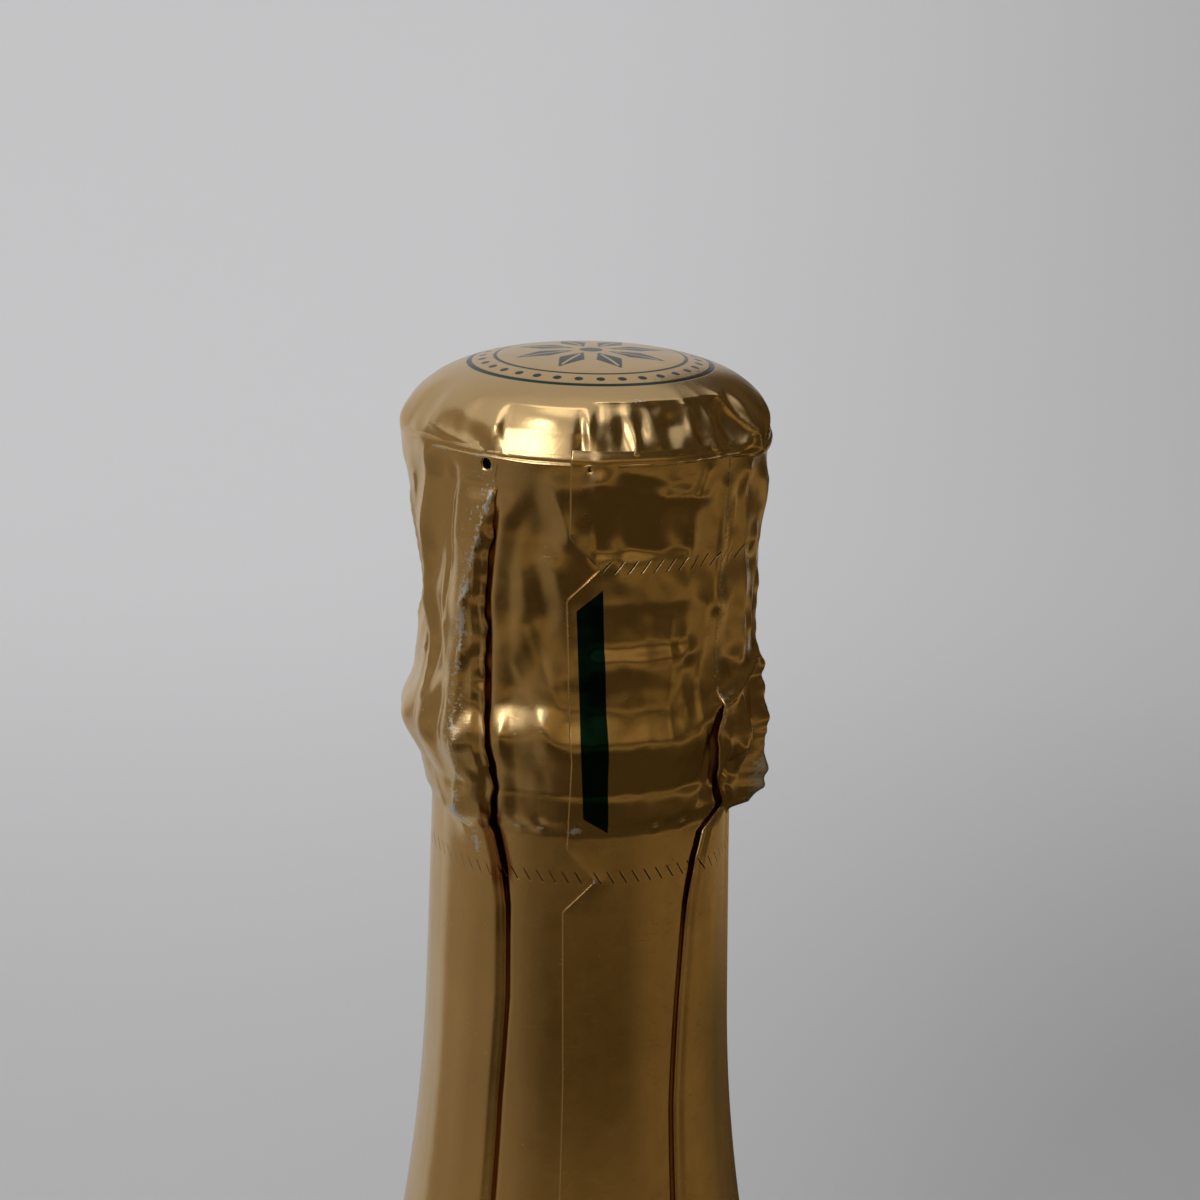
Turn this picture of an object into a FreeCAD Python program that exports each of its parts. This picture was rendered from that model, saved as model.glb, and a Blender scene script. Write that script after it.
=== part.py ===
"""A shut bottle of sparkling wine: dark glass, a pleated gold foil sleeve, a foil cap and a paper label.

Millimetres. The origin is the middle of the base, +Z runs up to the cap and -Y is the front, where the
foil's lap and the label are. A bearing is measured from the front and grows towards +X.
"""

import FreeCAD
import Part
import math
import os

import Sketcher

SIZES = {
    # the glass, from the base up
    "total_height": 320.0,
    "body_radius": 44.0,
    "heel_round": 9.0,
    "punt_radius": 32.5,
    "punt_depth": 31.0,
    "punt_crown": 15.0,
    "punt_edge": 2.5,
    "shoulder_round": 55.0,
    "flare_round": 174.0,
    "flare_radius": 14.4,
    "flare_height": 256.8,
    "neck_radius": 13.95,
    "neck_top": 277.8,
    # the shut head, which the foil hides
    "ring_radius": 15.3,
    "ring_foot": 280.6,
    "ring_crest": 290.4,
    "ring_round": 17.0,
    "waist_round": 150.0,
    "head_radius": 16.9,
    "rim_height": 312.8,
    "crown_radius": 16.4,
    "crown_rise": 1.2,
    "crown_round": 7.6,
    "top_radius": 10.9,
    "top_rise": 5.4,
    # the foil
    "foil_sheet": 0.3,
    "foil_foot": 202.0,
    "cap_step": 0.2,
    "pleat_lift": 0.45,
    "pleat_angle": 12.0,
    "lap_lift": 0.12,
    "lap_angle": 13.0,
    "twist_across": 4.6,
    "twist_up": 7.0,
    "twist_deep": 3.4,
    "twist_height": 286.2,
    "twist_reach": 14.6,
    "tuck_across": 3.0,
    "tuck_up": 4.4,
    "tuck_deep": 2.8,
    "tuck_height": 282.0,
    "tuck_reach": 15.4,
    "vent_radius": 0.6,
    "vent_drop": 1.6,
    # the label
    "label_sheet": 0.15,
    "label_foot": 44.0,
    "label_top": 116.0,
    "label_angle": 118.0,
}
PLEAT_BEARINGS = (-34.0, 49.0, 134.0, -124.0)
LAP_BEARING = 1.5
TWIST_BEARING = -84.0
TUCK_BEARING = 80.0
VENT_BEARINGS = (-32.4, 0.0)
LABEL_BEARING = 0.0
FULL_TURN = 360.0
NEAR = 1e-3

doc = FreeCAD.newDocument("sparkling_wine_bottle")
sheet = doc.addObject("Spreadsheet::Sheet", "Sizes")
for row, (alias, value) in enumerate(SIZES.items(), start=1):
    sheet.set(f"A{row}", alias)
    sheet.set(f"B{row}", str(value))
    sheet.setAlias(f"B{row}", alias)
doc.recompute()


def total(*names):
    """The sum of the named sizes, as a number and as an expression. One with a leading - is taken away."""
    value, text = 0.0, ""
    for name in names:
        alias = name.lstrip("-")
        sign = -1 if name.startswith("-") else 1
        value += sign * SIZES[alias]
        text += (" - " if sign < 0 else " + ") + f"Sizes.{alias}"
    return value, text[3:] if text.startswith(" + ") else text


def bind(sketch, kind, *where, names):
    """Adds a dimension to the sketch and ties it to the sheet."""
    value, text = total(*names)
    index = sketch.addConstraint(Sketcher.Constraint(kind, *where, value))
    sketch.setExpression(f"Constraints[{index}]", text)


def point(across, up):
    """A sketch point for two sums of sizes."""
    return FreeCAD.Vector(total(*across)[0], total(*up)[0], 0)


def pin(sketch, edge, end, across, up):
    """Ties one end of an edge to its distance from the axis and its height. None leaves either free."""
    if across == ():
        sketch.addConstraint(Sketcher.Constraint("PointOnObject", edge, end, -2))
    elif across:
        bind(sketch, "DistanceX", -1, 1, edge, end, names=across)
    if up == ():
        sketch.addConstraint(Sketcher.Constraint("PointOnObject", edge, end, -1))
    elif up:
        bind(sketch, "DistanceY", -1, 1, edge, end, names=up)


def add_line(sketch, start, end):
    return sketch.addGeometry(Part.LineSegment(start, end))


def add_arc(sketch, start, end, radius, bulge):
    """An arc that swells to the left of the way from start to end for a bulge of 1, to the right for -1.

    Returns its number and the sketcher's numbers for the ends at start and end: an arc runs anticlockwise.
    """
    chord = end - start
    side = FreeCAD.Vector(-chord.y, chord.x, 0).normalize() * bulge
    centre = (start + end) / 2 - side * math.sqrt(radius**2 - (chord.Length / 2) ** 2)
    limits = (end, start) if bulge > 0 else (start, end)
    angles = [math.atan2(spot.y - centre.y, spot.x - centre.x) for spot in limits]
    if angles[1] < angles[0]:
        angles[1] += 2 * math.pi
    circle = Part.Circle(centre, FreeCAD.Vector(0, 0, 1), radius)
    edge = sketch.addGeometry(Part.ArcOfCircle(circle, *angles))
    return (edge, 2, 1) if bulge > 0 else (edge, 1, 2)


class Outline:
    """A closed outline, drawn edge by edge, whose corners are tied to the sheet."""

    def __init__(self, sketch, across, up):
        self.sketch = sketch
        self.first = (across, up)
        self.corners = [(across, up)]
        self.edges = []

    def line(self, across, up, smooth=False):
        start, end = point(*self.corners[-1]), point(across, up)
        edge = add_line(self.sketch, start, end)
        self.close_up(edge, 1, 2, smooth)
        pin(self.sketch, edge, 2, across, up)
        self.corners.append((across, up))

    def arc(self, across, up, radius, bulge):
        start, end = point(*self.corners[-1]), point(across, up)
        edge, last = self.free_arc(start, end, radius, bulge)
        pin(self.sketch, edge, last, across, up)
        self.corners.append((across, up))

    def free_arc(self, start, end, radius, bulge, smooth=False):
        """An arc whose far end the joins and sizes around it settle. start and end are first guesses."""
        edge, first, last = add_arc(self.sketch, start, end, SIZES[radius], bulge)
        self.close_up(edge, first, last, smooth)
        bind(self.sketch, "Radius", edge, names=(radius,))
        return edge, last

    def arc_to_axis(self, up):
        """An arc that is level where it reaches the axis, because its centre lies on it."""
        start, end = point(*self.corners[-1]), point((), up)
        drop = end.y - start.y
        radius = (start.x**2 + drop**2) / (2 * drop)
        edge, first, last = add_arc(self.sketch, start, end, radius, -1)
        self.close_up(edge, first, last)
        pin(self.sketch, edge, 3, (), None)
        pin(self.sketch, edge, last, (), up)
        self.corners.append(((), up))

    def close_up(self, edge, first, last, smooth=False):
        """Joins the edge to the one before it, at a corner or smoothly."""
        if self.edges:
            before, tail = self.edges[-1]
            join = "Tangent" if smooth else "Coincident"
            self.sketch.addConstraint(Sketcher.Constraint(join, before, tail, edge, first))
        else:
            pin(self.sketch, edge, first, *self.first)
            self.head = (edge, first)
        self.edges.append((edge, last))

    def finish(self):
        """Draws the last line, back to the first corner."""
        start, end = point(*self.corners[-1]), point(*self.first)
        edge = add_line(self.sketch, start, end)
        self.close_up(edge, 1, 2)
        self.sketch.addConstraint(Sketcher.Constraint("Coincident", edge, 2, *self.head))


def origin_part(body, role):
    return next(part for part in body.Origin.OriginFeatures if part.Role == role)


def new_body(name):
    return doc.addObject("PartDesign::Body", name)


def new_sketch(body, name):
    """A sketch on the body's XZ plane: across is the distance from the axis, up is the height."""
    sketch = body.newObject("Sketcher::SketchObject", name)
    sketch.AttachmentSupport = [(origin_part(body, "XZ_Plane"), "")]
    sketch.MapMode = "FlatFace"
    return sketch


def turn(body, kind, sketch, name, angle=None):
    """Turns a sketch about the axis, as a Revolution or a Groove, by a full turn or a named angle."""
    feature = body.newObject(f"PartDesign::{kind}", name)
    feature.Profile = sketch
    feature.ReferenceAxis = (sketch, ["V_Axis"])
    feature.Angle = FULL_TURN
    if angle:
        feature.Midplane = True
        feature.setExpression("Angle", f"Sizes.{angle}")
    return feature


def circles_at(shape, radius, height):
    """The names of the shape's round edges of that radius at that height."""
    found = []
    for number, edge in enumerate(shape.Edges, start=1):
        if edge.Degenerated or not isinstance(edge.Curve, Part.Circle):
            continue
        misses = (abs(edge.Curve.Radius - radius), abs(edge.Curve.Center.z - height))
        if max(misses) < NEAR:
            found.append(f"Edge{number}")
    return found


def round_edge(body, base, name, edges, size):
    """A fillet on named edges, its radius tied to the sheet."""
    fillet = body.newObject("PartDesign::Fillet", name)
    fillet.Base = (base, edges)
    fillet.Radius = SIZES[size]
    fillet.setExpression("Radius", f"Sizes.{size}")
    return fillet


def facing(bearing, across=0.0, height=0.0):
    """A place on a bearing, at a distance from the axis and a height, with its own +X pointing outwards."""
    angle = math.radians(bearing - 90.0)
    place = FreeCAD.Vector(across * math.cos(angle), across * math.sin(angle), height)
    return FreeCAD.Placement(place, FreeCAD.Rotation(FreeCAD.Vector(0, 0, 1), bearing - 90.0))


def flare_outline(outline, start, grow, smooth=False):
    """The flare from a first guess of its foot up to the neck, moved outwards by the sizes named in grow."""
    across, up = ("flare_radius", *grow), ("flare_height",)
    edge, last = outline.free_arc(start, point(across, up), "flare_round", 1, smooth)
    pin(outline.sketch, edge, last, across, up)
    outline.corners.append((across, up))


def head_outline(outline, grow):
    """The neck and head upwards from the flare's top, all moved outwards by the sizes named in grow."""
    outline.line(("neck_radius", *grow), ("neck_top",), smooth=True)
    outline.line(("ring_radius", *grow), ("ring_foot",))
    outline.arc(("ring_radius", *grow), ("ring_crest",), "ring_round", -1)
    outline.arc(("head_radius", *grow), ("rim_height",), "waist_round", 1)


def dome_outline(outline, across, lift):
    """The crown and the flat top of the dome, moved outwards by across and upwards by lift, to the axis."""
    outline.line(("crown_radius", *across), ("rim_height", "crown_rise", *lift))
    outline.arc(("top_radius", *across), ("rim_height", "top_rise", *lift), "crown_round", -1)
    outline.arc_to_axis(("total_height", "-foil_sheet", *lift))


def flare_points(grow):
    """Where the shoulder's arc leaves the body and where it meets the neck's flare, as two first guesses."""
    lean = math.atan2(
        SIZES["flare_radius"] - SIZES["neck_radius"], SIZES["neck_top"] - SIZES["flare_height"]
    )
    bend, shoulder = SIZES["flare_round"], SIZES["shoulder_round"]
    centre = FreeCAD.Vector(
        SIZES["flare_radius"] + grow + bend * math.cos(lean),
        SIZES["flare_height"] + bend * math.sin(lean),
        0,
    )
    inset = SIZES["body_radius"] - shoulder
    drop = math.sqrt((bend + shoulder) ** 2 - (centre.x - inset) ** 2)
    base = FreeCAD.Vector(inset, centre.y - drop, 0)
    meeting = base + (centre - base) * (shoulder / (bend + shoulder))
    return centre, base, meeting


def glass_bottle():
    """The shut bottle: body, shoulder, neck and covered head in one turned solid, with a punt in its base."""
    body = new_body("bottle")
    sketch = new_sketch(body, "bottle_outline")
    outline = Outline(sketch, (), ())
    outline.line(("body_radius",), ())
    _, base, meeting = flare_points(0.0)
    wall_top = FreeCAD.Vector(SIZES["body_radius"], base.y, 0)
    wall = add_line(sketch, point(("body_radius",), ()), wall_top)
    outline.close_up(wall, 1, 2)
    sketch.addConstraint(Sketcher.Constraint("Vertical", wall))
    outline.free_arc(wall_top, meeting, "shoulder_round", -1, smooth=True)
    flare_outline(outline, meeting, (), smooth=True)
    head_outline(outline, ())
    dome_outline(outline, (), ())
    outline.finish()
    doc.recompute()
    turned = turn(body, "Revolution", sketch, "bottle_turned")
    doc.recompute()
    punt = punt_outline(body)
    hollowed = turn(body, "Groove", punt, "punt")
    doc.recompute()
    heel = circles_at(hollowed.Shape, SIZES["body_radius"], 0.0)
    heeled = round_edge(body, hollowed, "heel", heel, "heel_round")
    doc.recompute()
    stand = circles_at(heeled.Shape, SIZES["punt_radius"], 0.0)
    round_edge(body, heeled, "standing_edge", stand, "punt_edge")
    doc.recompute()
    if body.Shape.Volume >= turned.Shape.Volume:
        raise RuntimeError("the punt cut nothing")
    return body


def punt_outline(body):
    """The punt: a cone whose top is rounded over, seen as half a section."""
    sketch = new_sketch(body, "punt_outline")
    crown, depth, mouth = SIZES["punt_crown"], SIZES["punt_depth"], SIZES["punt_radius"]
    middle = FreeCAD.Vector(0, depth - crown, 0)
    far = FreeCAD.Vector(mouth, 0, 0) - middle
    aim = math.atan2(far.y, far.x) + math.acos(crown / far.Length)
    touch = middle + FreeCAD.Vector(math.cos(aim), math.sin(aim), 0) * crown
    base = add_line(sketch, FreeCAD.Vector(0, 0, 0), FreeCAD.Vector(mouth, 0, 0))
    side = add_line(sketch, FreeCAD.Vector(mouth, 0, 0), touch)
    axis = add_line(sketch, FreeCAD.Vector(0, depth, 0), FreeCAD.Vector(0, 0, 0))
    circle = Part.Circle(middle, FreeCAD.Vector(0, 0, 1), crown)
    top = sketch.addGeometry(Part.ArcOfCircle(circle, aim, math.pi / 2))
    pin(sketch, base, 1, (), ())
    pin(sketch, base, 2, ("punt_radius",), ())
    pin(sketch, axis, 1, (), ("punt_depth",))
    for constraint in (
        Sketcher.Constraint("Coincident", base, 2, side, 1),
        Sketcher.Constraint("Tangent", side, 2, top, 1),
        Sketcher.Constraint("Coincident", top, 2, axis, 1),
        Sketcher.Constraint("Coincident", axis, 2, base, 1),
        Sketcher.Constraint("PointOnObject", top, 3, -2),
    ):
        sketch.addConstraint(constraint)
    bind(sketch, "Radius", top, names=("punt_crown",))
    return sketch


def sleeve(name, grow, angle=None, bearing=0.0):
    """A turned block with the foil sleeve's outer shape, grown outwards: whole, or a strip of that angle."""
    body = new_body(name)
    sketch = new_sketch(body, f"{name}_outline")
    moved = sum(SIZES[size] for size in grow)
    centre, _, _ = flare_points(moved)
    foot = SIZES["foil_foot"]
    reach = centre.x - math.sqrt(SIZES["flare_round"] ** 2 - (centre.y - foot) ** 2)
    foot_point = FreeCAD.Vector(reach, foot, 0)
    outline = Outline(sketch, (), ("foil_foot",))
    edge = add_line(sketch, point((), ("foil_foot",)), foot_point)
    outline.close_up(edge, 1, 2)
    sketch.addConstraint(Sketcher.Constraint("Horizontal", edge))
    flare_outline(outline, foot_point, grow)
    head_outline(outline, grow)
    outline.line((), ("rim_height",))
    outline.finish()
    doc.recompute()
    turn(body, "Revolution", sketch, f"{name}_turned", angle)
    body.Placement = facing(bearing) if angle else FreeCAD.Placement()
    return body


def bump(name, bearing):
    """A rounded swelling under the foil, as an ellipsoid with one axis outwards."""
    solid = doc.addObject("Part::Ellipsoid", name)
    solid.Angle1, solid.Angle2, solid.Angle3 = -90.0, 90.0, FULL_TURN
    for axis, size in (("Radius1", "up"), ("Radius2", "deep"), ("Radius3", "across")):
        solid.setExpression(axis, f"Sizes.{name}_{size}")
    solid.Placement = facing(bearing, SIZES[f"{name}_reach"], SIZES[f"{name}_height"])
    return solid


def vent(number, bearing):
    """The cutter of a small round vent, just under the rim."""
    hole = doc.addObject("Part::Cylinder", f"vent_{number}")
    hole.setExpression("Radius", "Sizes.vent_radius")
    hole.setExpression("Height", "2 * Sizes.vent_radius")
    depth = SIZES["head_radius"] - SIZES["vent_radius"]
    outwards = facing(bearing, depth, SIZES["rim_height"] - SIZES["vent_drop"])
    lying = FreeCAD.Rotation(FreeCAD.Vector(0, 1, 0), 90)
    hole.Placement = outwards.multiply(FreeCAD.Placement(FreeCAD.Vector(), lying))
    return hole


def fuse(name, members):
    joined = doc.addObject("Part::MultiFuse", name)
    joined.Shapes = members
    joined.Refine = False
    return joined


def cut(name, base, tool):
    remains = doc.addObject("Part::Cut", name)
    remains.Base = base
    remains.Tool = tool
    remains.Refine = False
    return remains


def foil_skirt(bottle):
    """The foil sleeve: a thin skin from the rim to the shoulder, with pleats, a lap and two swellings."""
    members = [sleeve("sleeve", ("foil_sheet",))]
    for number, bearing in enumerate(PLEAT_BEARINGS, start=1):
        members.append(sleeve(f"pleat_{number}", ("foil_sheet", "pleat_lift"), "pleat_angle", bearing))
    members.append(sleeve("lap", ("foil_sheet", "lap_lift"), "lap_angle", LAP_BEARING))
    members.append(bump("twist", TWIST_BEARING))
    members.append(bump("tuck", TUCK_BEARING))
    block = fuse("skirt_block", members)
    vents = fuse("vents", [vent(number, bearing) for number, bearing in enumerate(VENT_BEARINGS, start=1)])
    return cut("foil_skirt", cut("skirt_skin", block, bottle), vents)


def foil_cap(bottle):
    """The foil cap: a thin dome over the head, a little wider than the sleeve, down to the rim."""
    body = new_body("cap_block")
    sketch = new_sketch(body, "cap_outline")
    wider = ("foil_sheet", "cap_step")
    outline = Outline(sketch, (), ("rim_height",))
    outline.line(("head_radius", *wider), ("rim_height",))
    dome_outline(outline, wider, ("foil_sheet",))
    outline.finish()
    doc.recompute()
    turn(body, "Revolution", sketch, "cap_turned")
    return cut("foil_cap", body, bottle)


def front_label():
    """The paper label: a thin curved sheet on the body's front."""
    body = new_body("front_label")
    sketch = new_sketch(body, "label_section")
    near, far = ("body_radius",), ("body_radius", "label_sheet")
    outline = Outline(sketch, near, ("label_foot",))
    outline.line(far, ("label_foot",))
    outline.line(far, ("label_top",))
    outline.line(near, ("label_top",))
    outline.finish()
    doc.recompute()
    turn(body, "Revolution", sketch, "label_turned", "label_angle")
    body.Placement = facing(LABEL_BEARING)
    return body


def check_and_export(parts):
    """Recomputes, refuses anything that failed, and writes each sub-part to its STEP file."""
    doc.recompute()
    for item in doc.Objects:
        if "Invalid" in item.State or "Error" in item.State:
            raise RuntimeError(f"{item.Name} failed: {item.State}")
    os.makedirs("parts", exist_ok=True)
    for item in parts:
        shape = item.Shape
        if shape.isNull() or not shape.isValid() or not shape.Solids:
            raise RuntimeError(f"{item.Label} has no valid solid")
        shape.exportStep(os.path.join("parts", f"{item.Label}.step"))
        print(item.Label, len(shape.Solids), "solid", round(shape.Volume / 1000, 3), "cm3")


bottle = glass_bottle()
check_and_export([bottle, foil_skirt(bottle), foil_cap(bottle), front_label()])
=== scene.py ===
"""A sparkling wine bottle's visual model: a pleated foil hood, a printed foil cap, green glass and a label.

Lengths in the text are millimetres and turn into metres by MM. A depth is measured down from the rim, where
the cap's edge meets the hood. A bearing is measured in degrees from the front (-Y) and grows towards +X.
"""

import math

import bmesh
import bpy
from bpy.props import (
    FloatProperty,
    FloatVectorProperty,
    PointerProperty,
)
from bpy.types import Operator, Panel, PropertyGroup
from mathutils import Matrix, Vector, noise

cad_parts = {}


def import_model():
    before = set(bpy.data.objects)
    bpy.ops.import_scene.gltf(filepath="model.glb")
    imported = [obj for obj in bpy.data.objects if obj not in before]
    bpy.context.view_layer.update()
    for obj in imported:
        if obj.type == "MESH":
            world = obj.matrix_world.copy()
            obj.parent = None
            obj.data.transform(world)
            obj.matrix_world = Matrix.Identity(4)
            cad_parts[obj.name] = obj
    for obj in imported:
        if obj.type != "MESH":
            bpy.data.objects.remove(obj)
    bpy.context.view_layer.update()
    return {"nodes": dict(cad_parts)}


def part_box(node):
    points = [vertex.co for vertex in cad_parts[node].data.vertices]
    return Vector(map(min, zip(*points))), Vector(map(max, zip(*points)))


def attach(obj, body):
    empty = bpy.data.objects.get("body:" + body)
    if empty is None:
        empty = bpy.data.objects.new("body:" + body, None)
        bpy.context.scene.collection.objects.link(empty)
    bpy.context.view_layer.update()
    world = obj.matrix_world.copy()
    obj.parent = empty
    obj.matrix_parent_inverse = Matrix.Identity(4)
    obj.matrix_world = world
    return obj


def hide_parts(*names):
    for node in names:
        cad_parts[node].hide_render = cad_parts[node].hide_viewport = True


bl_info = {
    "name": "Sparkling wine bottle",
    "version": (1, 0, 0),
    "blender": (4, 5, 0),
    "location": "View3D > Sidebar > Bottle",
    "description": "Builds the foil, glass, label and studio of a sparkling wine bottle around its CAD frame",
    "category": "Object",
}

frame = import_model()

MM = 0.001
RIM_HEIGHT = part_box("foil_skirt")[1][2] / MM
FOIL_LENGTH = RIM_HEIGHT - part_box("foil_skirt")[0][2] / MM
RIM_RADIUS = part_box("foil_cap")[1][0] / MM
DOME_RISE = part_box("foil_cap")[1][2] / MM - RIM_HEIGHT
BODY_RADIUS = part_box("bottle")[1][0] / MM


HOOD_RADIUS = 16.0
RIDGE_ROUND = 0.09
# past these a swell and a crease are too faint to count
SWELL_ENDS = 9
CREASE_ENDS = 5


# ---------------------------------------------------------------- numbers along a line


def along(stops, place):
    """The value at a place between (place, value) stops, in straight runs, and level beyond both ends."""
    if place <= stops[0][0]:
        return stops[0][1]
    for (near, first), (far, second) in zip(stops, stops[1:]):
        if place <= far:
            return first + (second - first) * (place - near) / (far - near)
    return stops[-1][1]


def ease(near, far, place):
    """0 before near, 1 past far, and a soft rise between them."""
    share = min(1.0, max(0.0, (place - near) / (far - near)))
    return share * share * (3 - 2 * share)


def turn_between(bearing, centre):
    """The shortest turn from centre to bearing, in degrees."""
    return (bearing - centre + 180) % 360 - 180


def swell(bearing, depth, centre, middle, across, down, height):
    """A soft bump at a bearing and depth. across is in degrees and down in millimetres."""
    aside = turn_between(bearing, centre) / across
    below = (depth - middle) / down
    reach = aside * aside + below * below
    return height * math.exp(-reach) if reach < SWELL_ENDS else 0.0


def crease(bearing, depth, start, end, width, height):
    """A sharp fold line between two (bearing, depth) places. width is in millimetres."""
    scale = math.radians(HOOD_RADIUS)
    across, down = (end[0] - start[0]) * scale, end[1] - start[1]
    aside, below = turn_between(bearing, start[0]) * scale, depth - start[1]
    length = across * across + down * down
    share = min(1.0, max(0.0, (aside * across + below * down) / length))
    gap = math.hypot(aside - share * across, below - share * down)
    return height * math.exp(-gap / width) if gap < CREASE_ENDS * width else 0.0


def ripple(bearing, depth, across, down, seed):
    """Smooth seeded noise on the foil, about -1 to 1, with waves that many millimetres across and down."""
    turn = math.radians(bearing)
    size = HOOD_RADIUS / across
    return noise.noise(Vector((math.cos(turn) * size, math.sin(turn) * size, depth / down + seed)))


def crumple(bearing, depth, across, down, seed):
    """Foil's crumples, about -0.5 to 0.25: smooth hollows that meet in sharp ridges."""
    wave = ripple(bearing, depth, across, down, seed)
    return 0.25 - math.sqrt(wave * wave + RIDGE_ROUND * RIDGE_ROUND)


def window(place, start, end, soft):
    """1 between start and end, 0 outside them, with soft sides."""
    return ease(start - soft, start, place) * (1 - ease(end, end + soft, place))


# ---------------------------------------------------------------- the hood's outline

NECK_RADIUS = 14.28
RIM_STEP = 0.45
WAIST_RADIUS = 15.6
WAIST_DEPTH = 19.0
WAIST_CURVE = 1.5
RING = (
    (19.0, 15.6), (21.5, 15.60), (23.2, 15.68), (26.2, 16.34), (27.0, 16.38), (27.9, 16.25),
    (31.4, 15.08), (32.2, 15.12), (34.2, 14.85), (34.9, 14.48), (35.6, 14.28),
)
FLARE_DEPTH = 56.0
FLARE_LEAN = 0.0214
FLARE_ROUND = 174.0
FLARE_CENTRE = (188.36, 260.5)
OVER_GLASS = 0.32
HEM = 0.1
HEM_TUCK = 0.06


def hood_radius(depth):
    """The foil's outline at a depth: waisted hood, the wire's ring, and the neck's flare."""
    if depth < WAIST_DEPTH:
        share = max(0.0, (WAIST_DEPTH - depth) / WAIST_DEPTH)
        return WAIST_RADIUS + (RIM_RADIUS - RIM_STEP - WAIST_RADIUS) * share**WAIST_CURVE
    if depth < RING[-1][0]:
        return along(RING, depth)
    radius = NECK_RADIUS + FLARE_LEAN * (depth - RING[-1][0])
    if depth > FLARE_DEPTH:
        below = FLARE_CENTRE[1] - (RIM_HEIGHT - depth)
        radius = FLARE_CENTRE[0] - math.sqrt(FLARE_ROUND**2 - below**2) + OVER_GLASS
    if depth > FOIL_LENGTH - HEM:
        radius -= HEM_TUCK
    return radius


# ---------------------------------------------------------------- the hood's folds

SEAM = (
    (-1, -5), (7, -5), (10, 5), (13, -6), (22, -4.7), (28, -3), (37, -4.6),
    (40, 6), (43, -5.6), (60, -4), (120, -4),
)
LEFT_EDGE = (
    (0, -29), (3.4, -28.6), (8, -30.6), (14, -33), (23, -33), (29, -30), (34, -31.5),
    (35.4, -34), (36.2, -32), (39, -29), (43, -27), (52, -26.3), (62, -28), (120, -30),
)
LEFT_CREASE = (
    (0, -30), (3.4, -30.2), (8, -34), (14, -39.5), (22, -41), (29, -40.5), (34.6, -45), (36, -43), (38, -39),
    (53, -39), (63, -41), (120, -43),
)
RIGHT_EDGE = (
    (0, 49), (24, 50.4), (27, 48.8), (31, 52.4), (34, 60), (35, 62), (36.5, 52), (39, 48.3),
    (43, 45), (53, 41.6), (63, 39.4), (120, 37),
)
RIGHT_CREASE = ((0, 56), (24, 58), (34, 68), (39, 61), (49, 58.3), (64, 55), (120, 52))
FIN_LIFT = (
    (8, 0), (12, 0.35), (14.5, 0.5), (20, 0.55), (22.0, 1.1), (26, 0.9), (29, 1.5), (31.5, 2.6), (34, 3.0),
    (35.6, 2.0), (36.4, 0),
)
FIN_BEARING = ((0, 84), (14, 85), (24, 83), (34, 80), (120, 82))
FIN_RAGGED = 0.35
FIN_EVEN = 0.16
FIN_EVEN_FROM = 29
FIN_GRAIN = 1.1

LEFT_EDGE_LIFT = (
    (3.0, 0), (4.4, 0.3), (8, 0.55), (14, 0.7), (22, 0.8), (34.4, 0.95),
    (35.6, 0.95), (40, 0.8), (46, 0.5), (120, 0.4),
)
LEFT_CREASE_LIFT = (
    (3.0, 0), (4.4, 0.6), (8, 1.3), (14, 1.75), (30, 1.95), (34.6, 1.8), (36.0, 0.6), (38, 0.45), (120, 0.35)
)
RIGHT_EDGE_LIFT = ((22.5, 0), (24.5, 0.7), (33, 1.0), (35, 0.75), (40, 0.7), (46, 0.45), (120, 0.38))
RIGHT_CREASE_LIFT = ((20, 0), (24.5, 0.8), (34, 0.9), (36, 0.4), (120, 0.32))

TOP_SHEET = 0.16
LAP_UNDER = 0.12
EDGE_ROUND = 0.14
# a fold lifted this far is fully folded, and where it isn't lifted its under side lies this many degrees away
FOLDED = 0.3
UNFOLDED_TURN = 0.4
UNDER_SHARE = 0.2
FIN_SHARE = 0.9
LEFT_WAVER = 1.3
RIGHT_WAVER = 0.5
WAVER_LENGTH = 1.7
WAVER_FADES = (33, 38)


def follows(stops):
    """A lift that follows (depth, lift) stops down the hood."""
    return lambda depth: along(stops, depth)


def fin_lift(depth):
    """The fold that stands out of the hood's right side, with its uneven edge."""
    uneven = FIN_RAGGED if depth < FIN_EVEN_FROM else FIN_EVEN
    return along(FIN_LIFT, depth) * (1 + uneven * noise.noise(Vector((depth / FIN_GRAIN, 3.1, 0.4))))


def at(stops, offset=0.0, waver=0.0, seed=0.0):
    """A bearing that follows stops down the hood, moved by an offset and a seeded waver, both in degrees."""

    def bearing(depth):
        fading = 1 - ease(*WAVER_FADES, depth)
        shake = waver * noise.noise(Vector((depth / WAVER_LENGTH, seed, 0.0))) * fading
        return along(stops, depth) + offset + shake

    return bearing


def tucked(stops, folds, offset, waver=0.0, seed=0.0):
    """A bearing under a fold's free edge: offset degrees back from it where folds(depth) is above zero."""
    edge = at(stops, 0.0, waver, seed)

    def bearing(depth):
        folded = min(1.0, folds(depth) / FOLDED)
        return edge(depth) + offset * folded + math.copysign(UNFOLDED_TURN, -offset) * (1 - folded)

    return bearing


def raised(folds, share, less=0.0):
    """A share of a fold's lift, less a sheet's rounded edge where it is folded."""

    def lift(depth):
        return max(0.0, folds(depth) * share - less * min(1.0, folds(depth) / FOLDED))

    return lift


def level(lift):
    """The same lift at every depth."""
    return lambda _depth: lift


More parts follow.
